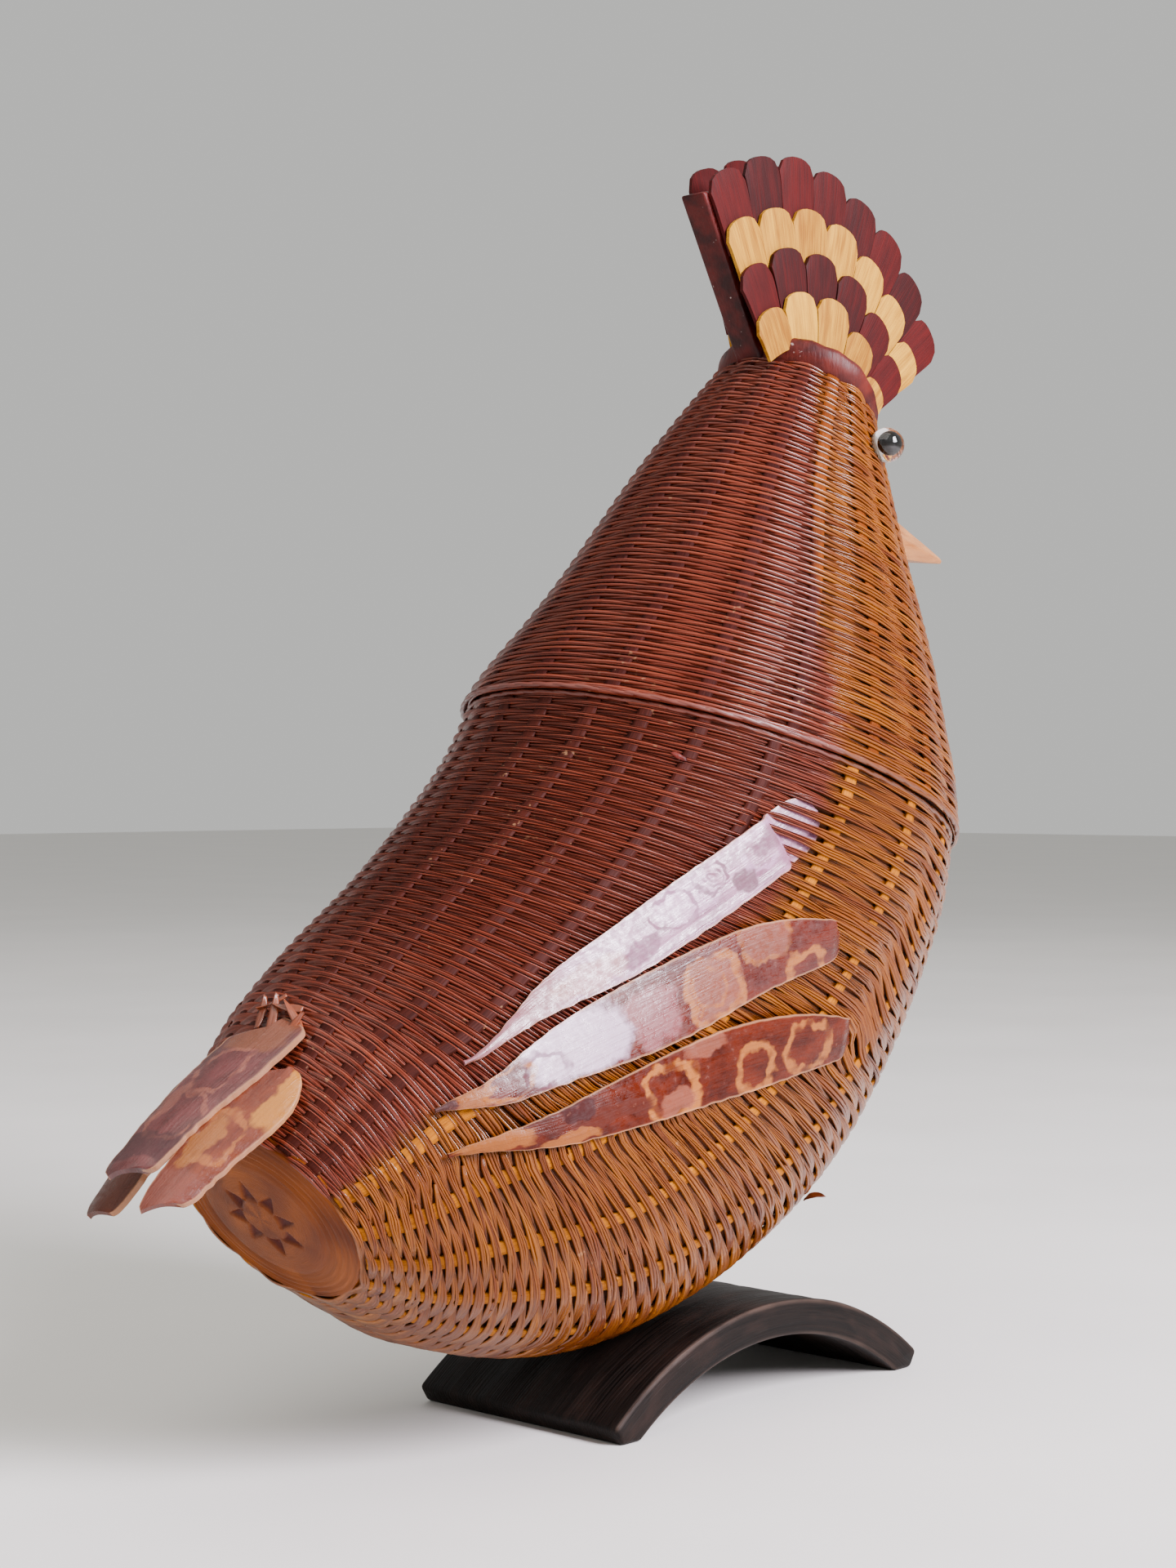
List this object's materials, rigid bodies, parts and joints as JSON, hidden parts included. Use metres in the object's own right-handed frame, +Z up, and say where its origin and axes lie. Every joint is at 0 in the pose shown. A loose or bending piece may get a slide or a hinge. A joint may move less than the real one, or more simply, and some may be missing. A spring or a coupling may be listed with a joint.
{
  "type": "woven pheasant box",
  "caption": "Lidded bird-shaped basket woven from rattan, its head the lift-off lid, with a fanned bamboo crest, bamboo wing and tail strips, and an arched bamboo stand",
  "frame": {"origin": "centre of the bounding box on the table under the stand", "axes": "+X where the beak points, +Y the bird's left, +Z up"},
  "size_m": [0.1844, 0.0756, 0.2025],
  "materials": {
    "woven_rattan": "varnished weave, maroon over the back and honey on the belly",
    "stained_bamboo": "glossy, burnt ring marks",
    "red_lacquer": "satin dyed bamboo",
    "straw": "satin natural bamboo",
    "beak_wood": "carved, satin",
    "eye_glass": "clear glass over a black pupil",
    "black_bamboo": "matt black paint, worn at the edges"
  },
  "bodies": {
    "root": {"stand": "black_bamboo", "basket_body": "woven_rattan", "head_lid": "woven_rattan", "crest_core": "red_lacquer", "crest_scales_1_left": "red_lacquer", "crest_scales_2_left": "straw", "crest_scales_3_left": "red_lacquer", "crest_scales_4_left": "straw", "wing_upper_left": "stained_bamboo", "wing_middle_left": "stained_bamboo", "wing_lower_left": "stained_bamboo", "eye_left": "eye_glass", "crest_scales_1_right": "red_lacquer", "crest_scales_2_right": "straw", "crest_scales_3_right": "red_lacquer", "crest_scales_4_right": "straw", "wing_upper_right": "stained_bamboo", "wing_middle_right": "stained_bamboo", "wing_lower_right": "stained_bamboo", "eye_right": "eye_glass", "beak": "beak_wood", "tail_centre": "stained_bamboo", "tail_right": "stained_bamboo", "tail_left": "stained_bamboo"}
  },
  "joints": []
}
